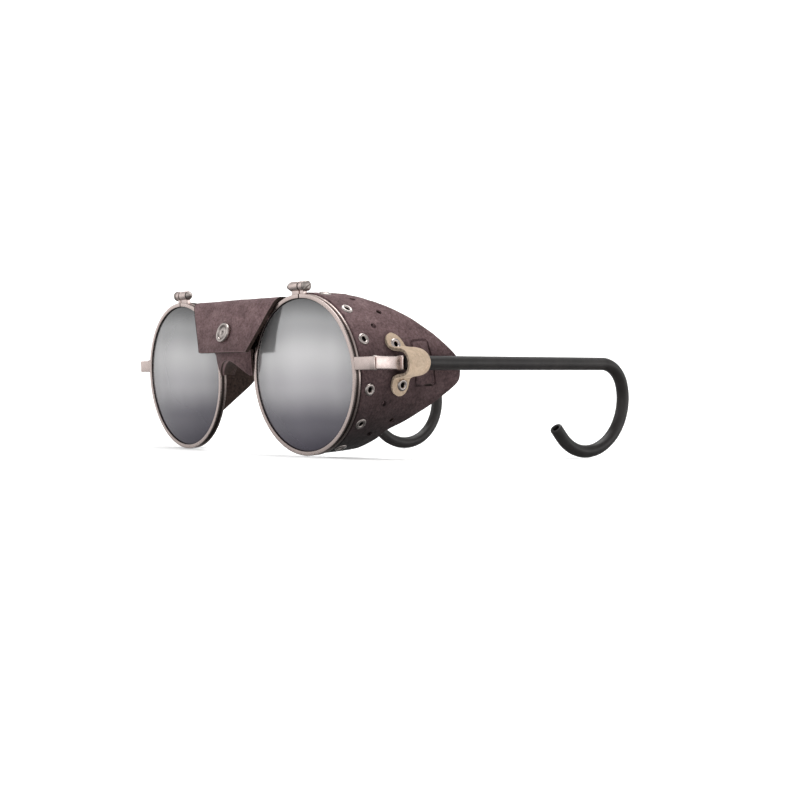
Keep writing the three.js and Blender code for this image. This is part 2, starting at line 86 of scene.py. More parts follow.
joints = {joint["name"]: joint for joint in frame["joints"]}
hinge_at = Vector(joints["left_temple_fold"]["pos_m"]) * 1000
FRONT = Matrix.Translation(hinge_at) @ turn(TILT, "X") @ Matrix.Translation(-HINGE)
FLAP_SLOPE = math.degrees(math.atan2(FLAP_TOP[0] - FLAP_BOTTOM[0], FLAP_TOP[1] - FLAP_BOTTOM[1]))
FLAP = FRONT @ Matrix.Translation((0, *FLAP_TOP)) @ turn(-FLAP_SLOPE, "X")


def eye(side):
    mirror = Matrix.Diagonal((side, 1, 1, 1))
    return FRONT @ Matrix.Translation((side * EYE_X, 0, 0)) @ turn(side * WRAP, "Z") @ mirror


def temple(side):
    hinge = Matrix.Translation((side * HINGE.x, HINGE.y, HINGE.z))
    mirror = Matrix.Diagonal((side, 1, 1, 1))
    return FRONT @ hinge @ turn(-DROP, "X") @ turn(side * CONVERGE, "Z") @ mirror


def in_metres(place, point):
    return (place @ Vector(point)) * 0.001


# ---------------------------------------------------------------- mesh tools


def grid_faces(rows, columns, close_rows, close_columns, base=0):
    """Quads over rows x columns of points, wrapping round where asked."""
    faces = []
    for i in range(rows if close_rows else rows - 1):
        for j in range(columns if close_columns else columns - 1):
            a, b = i * columns, (i + 1) % rows * columns
            k = (j + 1) % columns
            faces.append([base + a + j, base + b + j, base + b + k, base + a + k])
    return faces


class Shape:
    """Points and faces of one piece, in its own frame, and a weight for each point that marks cut edges and
    places of painted shade, such as grooves, bores, pits and the backs of leather.
    """

    def __init__(self):
        self.points, self.faces, self.edge = [], [], []

    def add(self, points, faces, edge=None):
        base = len(self.points)
        self.points += [Vector(p) for p in points]
        self.faces += [[base + k for k in face] for face in faces]
        self.edge += edge or [0.0] * len(points)
        return self

    def rings(self, rings, closed=False, edge=None):
        """Closed rings of points joined one after the other, capped unless they close on themselves."""
        count = len(rings[0])
        faces = grid_faces(len(rings), count, closed, True)
        if not closed:
            faces.append(list(range(count))[::-1])
            last = (len(rings) - 1) * count
            faces.append([last + k for k in range(count)])
        return self.add([p for ring in rings for p in ring], faces, edge)


def lathe(profile, segments, arc=(0, 360)):
    """Rings of (radius, y) profile points turned round Y; a part turn leaves the ends to be capped."""
    whole = arc[1] - arc[0] >= 360
    steps = segments if whole else segments + 1
    rings = []
    for i in range(steps):
        a = math.radians(arc[0] + (arc[1] - arc[0]) * i / segments)
        rings.append([(max(r, 1e-4) * math.cos(a), y, max(r, 1e-4) * math.sin(a)) for r, y in profile])
    return Shape().rings(rings, closed=whole)


def rounded(outline, radius, steps=3):
    """The closed outline with each of its corners rounded."""
    result = []
    count = len(outline)
    for i in range(count):
        before, at, after = (Vector(outline[k]) for k in (i - 1, i, (i + 1) % count))
        reach = min(radius, (before - at).length * 0.45, (after - at).length * 0.45)
        start, end = at + (before - at).normalized() * reach, at + (after - at).normalized() * reach
        for k in range(steps + 1):
            t = k / steps
            result.append(tuple(start * (1 - t) ** 2 + at * 2 * t * (1 - t) + end * t * t))
    return result


def block(x, y, z, bevel=0.2):
    """A bar along Y with rounded edges all round."""
    section = rounded([(x[0], z[0]), (x[1], z[0]), (x[1], z[1]), (x[0], z[1])], bevel * 1.6)
    middle = Vector(((x[0] + x[1]) / 2, (z[0] + z[1]) / 2))
    rings = []
    for inset, at in ((bevel, y[0]), (bevel * 0.3, y[0] + bevel * 0.3), (0, y[0] + bevel),
                      (0, y[1] - bevel), (bevel * 0.3, y[1] - bevel * 0.3), (bevel, y[1])):
        ring = []
        for px, pz in section:
            away = Vector((px, pz)) - middle
            px -= math.copysign(min(inset, abs(away.x)), away.x)
            pz -= math.copysign(min(inset, abs(away.y)), away.y)
            ring.append((px, at, pz))
        rings.append(ring)
    return Shape().rings(rings)


def joined(*shapes):
    whole = Shape()
    for shape in shapes:
        whole.add(shape.points, shape.faces, shape.edge)
    return whole


def moved(shape, matrix):
    shape.points = [matrix @ p for p in shape.points]
    return shape


def along_x(shape):
    return moved(shape, turn(-90, "Z"))


def outwards(shape, angle, y, radius=0.0):
    """Turns a shape made along +Y to point away from the eye's axis at an angle."""
    return moved(shape, Matrix.Translation((0, y, 0)) @ turn(-angle, "Y") @ turn(-90, "Z")
                 @ Matrix.Translation((0, radius, 0)))


def to_mesh(name, shape, place):
    mesh = bpy.data.meshes.new(name)
    mesh.from_pydata([in_metres(place, p) for p in shape.points], [], shape.faces)
    # This mask marks cut edges, and also the places where shade is painted in.
    edge = mesh.attributes.new("cut_edge_and_painted_shade", "FLOAT", "POINT")
    edge.data.foreach_set("value", shape.edge)
    work = bmesh.new()
    work.from_mesh(mesh)
    bmesh.ops.remove_doubles(work, verts=work.verts, dist=2e-6)
    bmesh.ops.recalc_face_normals(work, faces=work.faces)
    work.to_mesh(mesh)
    work.free()
    return mesh


def show(name, shape, place, material, sharp=40):
    thing = bpy.data.objects.new(name, to_mesh(name, shape, place))
    bpy.context.collection.objects.link(thing)
    thing.data.materials.append(material)
    thing.data.shade_smooth()
    thing.data.set_sharp_from_angle(angle=math.radians(sharp))
    return thing


def cut(thing, name, shape, place):
    """Takes a shape away from a finished piece."""
    tool = bpy.data.objects.new(name, to_mesh(name, shape, place))
    bpy.context.collection.objects.link(tool)
    change = thing.modifiers.new("cut", "BOOLEAN")
    change.operation, change.object, change.solver = "DIFFERENCE", tool, "EXACT"
    seen = thing.evaluated_get(bpy.context.evaluated_depsgraph_get())
    mesh = bpy.data.meshes.new_from_object(seen)
    thing.modifiers.clear()
    thing.data = mesh
    bpy.data.objects.remove(tool)
    mesh.shade_smooth()
    mesh.set_sharp_from_angle(angle=math.radians(50))


def settle(thing, slot, body, *nodes):
    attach(thing, body)
    if nodes:
        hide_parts(*nodes)
    return thing


# ---------------------------------------------------------------- material tools


class Paint:
    """A Principled material whose colour, roughness and bump come from nodes in object space."""

    def __init__(self, name, **sockets):
        self.material = bpy.data.materials.new(name)
        self.material.use_nodes = True
        self.nodes = self.material.node_tree.nodes
        self.links = self.material.node_tree.links
        self.shader = self.nodes["Principled BSDF"]
        for socket, value in sockets.items():
            self.shader.inputs[socket.replace("_", " ")].default_value = value
        self.where = self.nodes.new("ShaderNodeTexCoord").outputs["Object"]

    def node(self, kind, inputs=None, **settings):
        node = self.nodes.new(kind)
        for key, value in settings.items():
            setattr(node, key, value)
        for key, value in (inputs or {}).items():
            if isinstance(value, bpy.types.NodeSocket):
                self.links.new(value, node.inputs[key])
            else:
                node.inputs[key].default_value = value
        return node

    def noise(self, size_mm, detail=4.0, roughness=0.55, stretch=(1, 1, 1), distortion=0.0):
        """Noise whose largest features are about size_mm across."""
        place = self.node("ShaderNodeMapping", {"Vector": self.where, "Scale": stretch})
        return self.node("ShaderNodeTexNoise", {
            "Vector": place.outputs[0], "Scale": 1000 / size_mm, "Detail": detail,
            "Roughness": roughness, "Distortion": distortion}).outputs["Fac"]

    def ramp(self, fac, *stops, smooth=False):
        node = self.node("ShaderNodeValToRGB", {"Fac": fac})
        band = node.color_ramp
        band.interpolation = "EASE" if smooth else "LINEAR"
        while len(band.elements) < len(stops):
            band.elements.new(0.5)
        for element, (at, value) in zip(band.elements, stops):
            element.position = at
            element.color = (*value, 1) if isinstance(value, tuple) else (value, value, value, 1)
        return node.outputs["Color"]

    def mix(self, fac, a, b, blend="MIX"):
        node = self.node("ShaderNodeMix", data_type="RGBA", blend_type=blend)
        for socket, value in zip((0, 6, 7), (fac, a, b)):
            if isinstance(value, bpy.types.NodeSocket):
                self.links.new(value, node.inputs[socket])
            else:
                node.inputs[socket].default_value = (*value, 1) if isinstance(value, tuple) else value
        return node.outputs[2]

    def maths(self, operation, a, b):
        node = self.node("ShaderNodeMath", operation=operation)
        for k, value in enumerate((a, b)):
            if isinstance(value, bpy.types.NodeSocket):
                self.links.new(value, node.inputs[k])
            else:
                node.inputs[k].default_value = value
        return node.outputs[0]

    def height(self, axis):
        return self.node("ShaderNodeSeparateXYZ", {"Vector": self.where}).outputs[axis]

    def between(self, value, start, end):
        return self.node("ShaderNodeMapRange", {
            "Value": value, "From Min": start, "From Max": end}, clamp=True).outputs["Result"]

    # Mask of cut edges and of painted shade in grooves, bores, slots, pits, gaps and on the backs of leather.
    def edges(self):
        return self.node("ShaderNodeAttribute", attribute_name="cut_edge_and_painted_shade").outputs["Fac"]

    def finish(self, colour=None, roughness=None, bumps=()):
        """bumps are (height socket, strength, depth in mm), laid one on the other."""
        if colour is not None:
            self.links.new(colour, self.shader.inputs["Base Color"])
        if roughness is not None:
            self.links.new(roughness, self.shader.inputs["Roughness"])
        normal = None
        for height, strength, depth_mm in bumps:
            inputs = {"Height": height, "Strength": strength, "Distance": depth_mm / 1000}
            if normal is not None:
                inputs["Normal"] = normal
            normal = self.node("ShaderNodeBump", inputs).outputs["Normal"]
        if normal is not None:
            self.links.new(normal, self.shader.inputs["Normal"])
        return self.material


# ---------------------------------------------------------------- materials


def nubuck(name, middle, raised, edge, shade, grain_range):
    """Buffed leather: soft mottling, a fine raised nap, small scuffs, raw cut edges and dark painted shade on
    backs and in pits.

    shade is shading painted into the colour, to follow the photo: (share of 55 mm of height, how much
    of the colour is left) from the bottom up. grain_range is how dark and how pale the nap goes.
    """
    dark = tuple(0.76 * c for c in middle)
    paint = Paint(name, Roughness=0.9, Specular_IOR_Level=0.05, Sheen_Weight=0.06, Sheen_Roughness=0.5)
    mottling = paint.ramp(paint.noise(6.0, 5, 0.6, distortion=0.2), (0.3, dark), (0.5, middle), (0.8, raised))
    nap = paint.ramp(paint.noise(0.9, 8, 0.8), (0.36, grain_range[0]), (0.66, grain_range[1]))
    colour = paint.mix(0.85, mottling, nap, "MULTIPLY")
    rubs = paint.noise(1.9, 8, 0.8, stretch=(1, 0.45, 1), distortion=1.4)
    scuffs = paint.ramp(rubs, (0.6, 0.0), (0.66, 1.0))
    colour = paint.mix(paint.maths("MULTIPLY", scuffs, 0.35), colour, raised)
    shading = paint.ramp(paint.between(paint.height("Z"), 0.0, 0.055), *shade)
    colour = paint.mix(1.0, colour, shading, "MULTIPLY")
    fuzz = paint.ramp(paint.noise(0.8, 8, 0.85), (0.4, 0.0), (0.64, 1.0))
    burnished = paint.ramp(paint.edges(), (0.1, 0.0), (0.36, 0.45), (0.6, 0.0))
    colour = paint.mix(burnished, colour, raised)
    # The dark raw colour goes on cut edges; through the edge mask it is also painted on the backs of the
    # pieces, on pit walls and in pressed grooves as painted shade.
    raw = paint.mix(fuzz, tuple(0.22 * c for c in edge), edge)
    colour = paint.mix(paint.ramp(paint.edges(), (0.42, 0.0), (0.75, 1.0)), colour, raw)
    rough = paint.ramp(paint.noise(1.2, 4), (0.3, 0.82), (0.7, 0.97))
    grain = paint.noise(0.32, 5, 0.7)
    creases = paint.noise(2.6, 6, 0.6, stretch=(1, 0.7, 1), distortion=0.8)
    return paint.finish(colour, rough, ((creases, 0.45, 0.3), (grain, 0.6, 0.14)))


def satin_metal(name, colour, worn, roughness=0.27):
    """Satin coating over metal: cloudy sheen, fine brushing, paler where it rubs.

    Below 30 mm of height it is painted darker, to follow the photo's shading.
    """
    paint = Paint(name, Metallic=1.0, Roughness=roughness)
    cloud = paint.ramp(paint.noise(9.0, 4), (0.35, tuple(0.86 * c for c in colour)), (0.65, colour))
    rubbed = paint.ramp(paint.noise(1.6, 6, 0.7), (0.55, 0.0), (0.8, 0.35))
    tone = paint.mix(rubbed, cloud, worn)
    low_down = paint.between(paint.height("Z"), 0.03, 0.0)
    tone = paint.mix(paint.maths("MULTIPLY", low_down, 0.5), tone, tuple(0.3 * c for c in colour))
    # Painted shade: near black wherever the edge mask marks grooves, bores, slots, gaps and the rim's dark
    # lower lip.
    tone = paint.mix(paint.edges(), tone, (0.012, 0.009, 0.008))
    rough = paint.ramp(paint.noise(1.0, 5, 0.65), (0.3, roughness - 0.06), (0.7, roughness + 0.1))
    brushing = paint.noise(0.25, 3, 0.6, stretch=(1, 1, 0.25))
    return paint.finish(tone, rough, ((brushing, 0.12, 0.03),))


def mirror_lens(name, side):
    """Grey mirror coating with painted reflection and shade: darker at the top and the bottom by height, and
    darker towards both sides. Grey mirror coating, with the photo's tones painted in by height and from side
    to side.

    The right lens is painted darker than the left one, as painted shade.
    """
    paint = Paint(name, Metallic=0.66, Roughness=0.13, Coat_Weight=0.12, Coat_Roughness=0.05)
    middle = in_metres(eye(side), (0, 0, 0)).z
    reach = LENS_EDGE * 0.001
    up = paint.between(paint.height("Z"), middle - reach, middle + reach)
    film = paint.noise(26.0, 2, stretch=(1, 1, 0.6))
    level = paint.maths("ADD", up, paint.maths("MULTIPLY", paint.maths("SUBTRACT", film, 0.5), 0.1))
    # Painted reflection: the mirror's tone by height, dark at the top and the bottom, bright across the
    # middle.
    tone = paint.ramp(level, (0.0, (0.11, 0.1, 0.13)), (0.2, (0.2, 0.19, 0.22)), (0.44, (0.54, 0.53, 0.55)),
                      (0.62, (0.66, 0.655, 0.66)), (0.82, (0.4, 0.4, 0.405)), (1.0, (0.13, 0.13, 0.132)),
                      smooth=True)
    centre = in_metres(eye(side), (0, 0, 0)).x
    aside = paint.between(paint.height("X"), centre - reach, centre + reach)
    # Painted reflection and shade from side to side; tone_share paints the right lens darker as shade.
    tone_share = 1.0 if side > 0 else 0.82
    sides = paint.ramp(aside, (0.0, 0.56 * tone_share), (0.22, 0.84 * tone_share), (0.5, tone_share),
                       (0.8, 0.92 * tone_share), (1.0, 0.7 * tone_share), smooth=True)
    tone = paint.mix(1.0, tone, sides, "MULTIPLY")
    # Painted shade: near black at the lens edge, in the gap by the rim.
    tone = paint.mix(paint.edges(), tone, (0.01, 0.009, 0.01))
    smears = paint.ramp(paint.noise(12.0, 6, 0.7, stretch=(1, 1, 0.4)), (0.4, 0.1), (0.75, 0.18))
    dust = paint.noise(0.6, 3)
    return paint.finish(tone, smears, ((dust, 0.02, 0.01),))


def rubber(name):
    """Matt moulded rubber with a faint bloom and handling marks."""
    paint = Paint(name, Roughness=0.42, Specular_IOR_Level=0.36)
    bloom = paint.ramp(paint.noise(6.0, 5, 0.6), (0.35, (0.011, 0.0092, 0.0088)),
                       (0.7, (0.021, 0.0178, 0.017)))
    specks = paint.ramp(paint.noise(0.5, 4, 0.7), (0.62, 0.0), (0.75, 0.25))
    colour = paint.mix(specks, bloom, (0.04, 0.035, 0.033))
    rough = paint.ramp(paint.noise(2.2, 5), (0.3, 0.28), (0.7, 0.42))
    skin = paint.noise(0.22, 4, 0.6)
    return paint.finish(colour, rough, ((skin, 0.25, 0.04),))


ROSE = satin_metal("rose_metal", (0.78, 0.65, 0.61), (0.88, 0.78, 0.75))
STEEL = satin_metal("steel", (0.42, 0.37, 0.345), (0.62, 0.58, 0.55), 0.32)
EYELET = satin_metal("eyelet_metal", (0.54, 0.48, 0.455), (0.74, 0.69, 0.665), 0.24)
BROWN = nubuck("brown_leather", (0.158, 0.1, 0.103), (0.23, 0.155, 0.158), (0.055, 0.036, 0.03),
               ((0.04, 0.02), (0.2, 0.13), (0.5, 0.46), (0.68, 0.8), (0.82, 1.03)), (0.45, 1.6))
TAN = nubuck("tan_leather", (0.56, 0.43, 0.315), (0.6, 0.475, 0.36), (0.6, 0.47, 0.36),
             ((0.2, 0.55), (0.6, 1.0)), (0.72, 1.15))
RUBBER = rubber("black_rubber")


# ---------------------------------------------------------------- rims, lenses and closing screws


def rim(side, label):
    lip, rear = 0.5, RIM_DEPTH - 0.7
    waist = 26.05
    groove = LENS_EDGE + 0.15
    profile = rounded([
        (RIM_INNER, 0), (RIM_OUTER, 0), (RIM_OUTER, lip), (waist, lip + 0.1), (waist, rear - 0.1),
        (RIM_OUTER, rear), (RIM_OUTER, RIM_DEPTH), (RIM_INNER, RIM_DEPTH), (RIM_INNER, 1.85),
        (groove, 1.85), (groove, 0.45), (RIM_INNER, 0.45)], 0.16)
    split = math.degrees(0.3 / RIM_OUTER)
    ring = lathe(profile, 240, (90 + split, 450 - split))
    # Painted shade for the groove, the inner edge and the underside of the lip.
    ring.edge = [painted_rim_shade(p, waist, lip, rear) for p in ring.points]
    neck_nasal = block((-4.1, -0.3), (0.35, RIM_DEPTH - 0.3), (waist - 0.6, BARREL_Z - 0.9), 0.15)
    neck_outer = block((0.3, 2.0), (0.35, RIM_DEPTH - 0.3), (waist - 0.3, BARREL_Z - 0.9), 0.15)
    sleeves = [barrel_sleeve(-4.6, -0.3), barrel_sleeve(0.3, 2.1)]
    whole = joined(ring, neck_nasal, neck_outer, *sleeves)
    thing = show(f"{label}_rim", whole, eye(side), ROSE, 35)
    settle(thing, "rose_metal", "front", f"rim_{label}")


def painted_rim_shade(point, waist, lip, rear):
    """Painted shade in the rim's groove, along its inner edge by the lens, and on the lip's outer edge, which
    is painted darkest under the rim.
    """
    radius = point.xz.length
    # Groove: painted shade.
    if waist - 0.05 < radius < waist + 0.25 and lip < point.y < rear:
        return 0.9
    # Outer edge of the lip: painted shade, darker towards the bottom.
    if radius > RIM_OUTER - 0.12:
        return 0.32 + 0.5 * max(0.0, -point.z / RIM_OUTER)
    # Inner edge by the lens: painted shade.
    return 0.3 if radius < RIM_INNER + 0.1 else 0.0


def barrel_sleeve(start, end):
    bore, round_off = 0.85, 0.22
    profile = rounded([(bore, start), (BARREL_RADIUS, start), (BARREL_RADIUS, end), (bore, end)], round_off)
    sleeve = lathe(profile, 40)
    # The bore and the ends round it are marked for painted shade, dark in the gap between the sleeves.
    sleeve.edge = [0.8 if p.xz.length < BARREL_RADIUS - 0.12 else 0.0 for p in sleeve.points]
    return moved(along_x(sleeve), Matrix.Translation((0, BARREL_Y, BARREL_Z)))


def lens(side, label):
    def dome(r, sphere):
        return math.sqrt(sphere ** 2 - LENS_EDGE ** 2) - math.sqrt(sphere ** 2 - r ** 2)

    edge_front, edge_back, rings = 0.6, 1.7, 14
    radii = [(RIM_INNER - 0.4) * math.sin(math.pi / 2 * k / rings) for k in range(rings + 1)]
    radii += [RIM_INNER - 0.02, LENS_EDGE]
    front = [(r, edge_front + dome(r, LENS_SPHERE)) for r in radii]
    back = [(r, edge_back + dome(r, 210.0)) for r in radii]
    shape = lathe(front + back[::-1], 128)
    # The lens's edge is marked for painted shade, a dark line between lens and rim.
    shape.edge = [1.0 if p.xz.length > RIM_INNER - 0.05 else 0.0 for p in shape.points]
    thing = show(f"{label}_lens", shape, eye(side), mirror_lens(f"{label}_mirror", side), 30)
    settle(thing, "mirror_glass", "front", f"lens_{label}")


def closing_screw(side, label):
    """Pointed on the nose side, with a slotted round head on the temple side."""
    tip = [(0, -7.0), (0.4, -6.95), (0.85, -6.2), (1.3, -5.3), (1.35, -5.0), (0.6, -4.9), (0.6, 2.3)]
    head = [(1.3, 2.32), (1.72, 2.5), (1.8, 2.8), (1.74, 3.4), (1.45, 3.72), (0.6, 3.83), (0, 3.85)]
    at = Matrix.Translation((0, BARREL_Y, BARREL_Z))
    thing = show(f"{label}_closing_screw", moved(along_x(lathe(tip + head, 40)), at), eye(side), STEEL, 40)
    slot = moved(block((3.4, 4.4), (-2.2, 2.2), (-0.28, 0.28), 0.02), at @ turn(35, "X"))
    # The slot's walls are marked for painted shade.
    slot.edge = [1.0] * len(slot.points)
    cut(thing, "slot", slot, eye(side))
    settle(thing, "steel", "front", f"closing_screw_{label}")


# ---------------------------------------------------------------- end pieces, hinges and temples


def end_piece(side, label):
    """A flat strip folded round the corner of the rim, with two of the hinge's knuckles."""
    outline = rounded([
        (63.1, 1.3), (70.6, 1.65), (71.6, 2.05), (71.9, 2.55), (71.9, 3.0), (70.3, 3.1), (70.3, 4.9),
        (68.2, 4.9), (68.2, 3.3), (63.1, 3.05)], 0.2)
    half, soft = BAR_HEIGHT / 2, 0.22
    middle = Vector((69.5, 2.5))
    rings = []
    for z, inset in ((-half, soft), (-half + 0.06, 0.08), (-half + soft, 0), (half - soft, 0),
                     (half - 0.06, 0.08), (half, soft)):
        ring = []
        for x, y in outline:
            away = (Vector((x, y)) - middle).normalized() * inset
            ring.append((x - away.x, y - away.y, HINGE.z + z))
        rings.append(ring)
    strip = Shape().rings(rings)
    knuckles = [knuckle(z) for z in ((-half, -0.95), (0.95, half))]
    for ring in knuckles:
        moved(ring, Matrix.Translation(HINGE))
    mirror = Matrix.Diagonal((side, 1, 1, 1))
    thing = show(f"{label}_end_piece", joined(strip, *knuckles), FRONT @ mirror, ROSE, 35)
    settle(thing, "rose_metal", "front", f"end_piece_{label}")


def knuckle(z, radius=1.1, bore=0.62):
    profile = rounded([(bore, z[0]), (radius, z[0]), (radius, z[1]), (bore, z[1])], 0.12)
    return moved(lathe(profile, 32), turn(90, "X"))


def hinge_screw(side, label):
    half = BAR_HEIGHT / 2
    profile = [(0, -half - 0.3), (0.42, -half - 0.28), (0.5, -half - 0.1), (0.5, half - 0.1),
               (0.85, half + 0.02), (0.92, half + 0.1), (0.84, half + 0.22), (0.5, half + 0.3),
               (0, half + 0.31)]
    at = Matrix.Translation((side * HINGE.x, HINGE.y, HINGE.z))
    thing = show(f"{label}_hinge_screw", moved(lathe(profile, 32), turn(90, "X")), FRONT @ at, STEEL, 40)
    cut(thing, "slot", block((-0.14, 0.14), (-1.5, 1.5), (half + 0.14, half + 1), 0.02), FRONT @ at)
    settle(thing, "steel", "front", f"hinge_screw_{label}")


def temple_bar(side, label):
    """Flat bar with the middle knuckle, ending in a raised ferrule where the tube starts."""
    half = BAR_HEIGHT / 2
    strip = block((1.25, 2.45), (-1.95, BAR_END - 0.9), (-half, half), 0.2)
    lip = block((0.1, 2.75), (BAR_END - 1.0, BAR_END), (-half - 0.2, half + 0.2), 0.25)
    web = block((0.3, 1.5), (-0.8, 0.8), (-0.7, 0.7), 0.1)
    whole = joined(strip, lip, web, knuckle((-0.75, 0.75)))
    thing = show(f"{label}_temple_bar", whole, temple(side), ROSE, 35)
    settle(thing, "rose_metal", f"temple_{label}", f"temple_bar_{label}")


def temple_line(start):
    """Centre line of the tube: straight, a tight bend down, a wide bend forwards and a short tip."""
    straight_end, tip, step = 120.4, 4.8, 4.0
    splay, lean = math.tan(math.radians(CONVERGE)), 0.06
    line = [(start + (straight_end - start) * k / 40, 0.0) for k in range(41)]
    y, z, heading = straight_end, 0.0, 0.0
    for radius, bend in ((12.0, 70.7), (18.3, 155.5)):
        count = math.ceil(bend / step)
        angle = math.radians(bend) / count
        chord = 2 * radius * math.sin(angle / 2)
        for _ in range(count):
            y += chord * math.cos(heading - angle / 2)
            z += chord * math.sin(heading - angle / 2)
            heading -= angle
            line.append((y, z))
    for k in range(1, 5):
        line.append((y + tip * k / 4 * math.cos(heading), z + tip * k / 4 * math.sin(heading)))
    points = []
    for y, z in line:
        bent = y > straight_end or z < 0
        points.append(Vector((TUBE_X + (splay * (y - straight_end) + lean * z if bent else 0), y, z)))
    return points


def temple_tube(side, label):
    """Rubber tube with a bore; the line is followed outside to the tip and back inside."""
    line = temple_line(BAR_END + 0.4)
    last = len(line) - 1
    skin = [(0, BORE_RADIUS), (0, TUBE_RADIUS - 0.15)]
    skin += [(k, TUBE_RADIUS) for k in range(1, last)]
    skin += [(last - 0.4, TUBE_RADIUS), (last - 0.12, TUBE_RADIUS - 0.1), (last, TUBE_RADIUS - 0.35),
             (last, BORE_RADIUS + 0.2), (last - 0.2, BORE_RADIUS)]
    skin += [(k, BORE_RADIUS) for k in range(last - 1, 0, -1)]
    rings = []
    for at, radius in skin:
        k = min(int(at), last - 1)
        centre = line[k].lerp(line[k + 1], at - k)
        ahead = (line[min(k + 1, last)] - line[max(k - 1, 0)]).lerp(line[min(k + 2, last)] - line[k], at - k)
        across = ahead.cross(Vector((1, 0, 0))).normalized()
        over = across.cross(ahead).normalized()
        rings.append([centre + radius * (math.cos(a) * across + math.sin(a) * over)
                      for a in (2 * math.pi * j / 40 for j in range(40))])
    thing = show(f"{label}_temple_tube", Shape().rings(rings, closed=True), temple(side), RUBBER, 50)
    settle(thing, "black_rubber", f"temple_{label}", f"temple_tube_{label}")


# ---------------------------------------------------------------- side shields


def soft_min(values, soft=1.2):
    return -soft * math.log(sum(math.exp(-v / soft) for v in values))


def shield_rear(angle):
    """How far back the leather reaches: a point beside the temple, less above and below it."""
    above = max(14.3, 49.3 - 0.49 * angle)
    below = max(25.6 + 0.133 * angle, 53.7 + 0.727 * angle)
    lifted = max(0.0, angle - 74) * 0.9 + max(0.0, -74 - angle) * 0.55
    return soft_min([46.2, above, below]) - lifted


def trimmed_rear(angle, side):
    """The rear edge with its lower corner cut; the right one is cut up to 5 mm closer, as in the photo."""
    limit = 35 * math.cos(math.radians(angle)) + (7.0 if side > 0 else 1.0)
    rear = soft_min([shield_rear(angle), limit], 0.6) if angle < -55 else shield_rear(angle)
    return max(SHIELD_FRONT + 1.0, rear)


def shield_radius(angle):
    return SHIELD_OUTER - 0.8 * max(0.0, -math.sin(math.radians(angle))) ** 2


def on_shield(angle, y, lift=0.0):
    a = math.radians(angle)
    radius = shield_radius(angle) + lift
    return Vector((radius * math.cos(a), y, radius * math.sin(a)))


def strip_section(start, end, thickness, count, corner=0.35, steps=3):
    """Closed section of a leather strip from start to end: (place, depth below the face, edge)."""
    section = [(start + corner + (end - start - 2 * corner) * k / count, 0.0, 0.0) for k in range(count + 1)]
    turns = []
    for k in range(1, steps + 1):
        a = math.pi / 2 * k / steps
        turns.append((corner * math.sin(a), corner * (1 - math.cos(a))))
    far = [(end - corner + out, down, 0.35 + 0.65 * k / steps) for k, (out, down) in enumerate(turns)]
    far += [(place, thickness - down, edge) for place, down, edge in far[::-1]]
    back = [(end - corner - (end - start - 2 * corner) * k / count, thickness, 0.0) for k in range(count + 1)]
    near = [(start + end - place, thickness - down, edge) for place, down, edge in far]
    return section + far + back + near


def shield(side, label):
    first, last, step = -90.0, 89.0, 1.0
    rings, edge = [], []
    for k in range(int((last - first) / step) + 1):
        angle = first + k * step
        ring = []
        for y, depth, raw in strip_section(SHIELD_FRONT, trimmed_rear(angle, side), LEATHER, 56):
            sway = noise.noise(Vector((angle * 0.07, y * 0.09, side * 3.1))) * 0.22
            ripple = noise.noise(Vector((angle * 0.3, y * 0.33, side * 7.7))) * 0.07
            free = min(1.0, max(0.0, (y - 9) / 8))
            ring.append(on_shield(angle, y, free * (sway + ripple) - depth))
            # The back of the leather is marked for painted shade; the corners at the rear are cut edges.
            edge.append(1.0 if depth == LEATHER else raw if y > SHIELD_FRONT + 2 else 0.0)
        rings.append(ring)
    thing = show(f"{label}_shield", Shape().rings(rings, edge=edge), eye(side), BROWN, 60)
    holes = [vent_hole(a, y) for a, y in VENTS]
    holes += [eyelet_hole(angle, EYELET_Y) for angle in EYELET_ANGLES]
    holes += [eyelet_hole(angle, y) for angle, y, _ in STRAP_EYELETS]
    cut(thing, "holes", joined(*holes), eye(side))
    cut(thing, "stamp", stamp(), eye(side))
    follow_shield(thing, side, label, "brown_leather", f"shield_collar_{label}", f"shield_flap_{label}")


def eyelet_hole(angle, y):
    return outwards(lathe([(0, 24), (1.0, 24), (1.0, 30), (0, 30)], 20), angle, y)


def vent_hole(angle, y):
    """A blind pit in place of a punched hole, so that no light from behind shows in it; its walls and floor
    are painted dark as painted shade.
    """
    floor = shield_radius(angle) - LEATHER + 0.25
    hole = lathe([(0, floor), (1.02, floor), (1.12, 30), (0, 30)], 24)
    # The pit's walls and floor are marked for painted shade.
    hole.edge = [1.0] * len(hole.points)
    return outwards(hole, angle, y)


def follow_shield(thing, side, label, slot, *nodes):
    """Hides the named parts and bakes the piece's place into its mesh."""
    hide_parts(*nodes)
    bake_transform(thing)


def stamp():
    """A plain frame pressed into the leather behind the strap, its groove painted dark as painted shade."""
    angles, places, width, depth = (-12.0, 22.0), (25.2, 32.8), 0.8, 0.65
    half = math.degrees(width / SHIELD_OUTER)
    outer = rounded([(angles[0], places[0]), (angles[1], places[0]), (angles[1], places[1]),
                     (angles[0], places[1] + 2.2)], 2.2, 4)
    middle = Vector((sum(angles) / 2, sum(places) / 2))
    groove = Shape()
    rings = []
    for angle, y in outer:
        inwards = Vector((middle.x - angle, middle.y - y))
        inner_angle = angle + math.copysign(half, inwards.x)
        inner_y = y + math.copysign(width, inwards.y)
        rings.append([on_shield(angle, y, 1.0), on_shield(angle, y, -depth * 0.4),
                      on_shield((angle + inner_angle) / 2, (y + inner_y) / 2, -depth),
                      on_shield(inner_angle, inner_y, -depth * 0.4), on_shield(inner_angle, inner_y, 1.0)])
    groove.rings(rings, closed=True)
    # The groove's inside is marked for painted shade.
    groove.edge = [0.9 if k % 5 in (1, 2, 3) else 0.0 for k in range(len(groove.points))]
    return groove


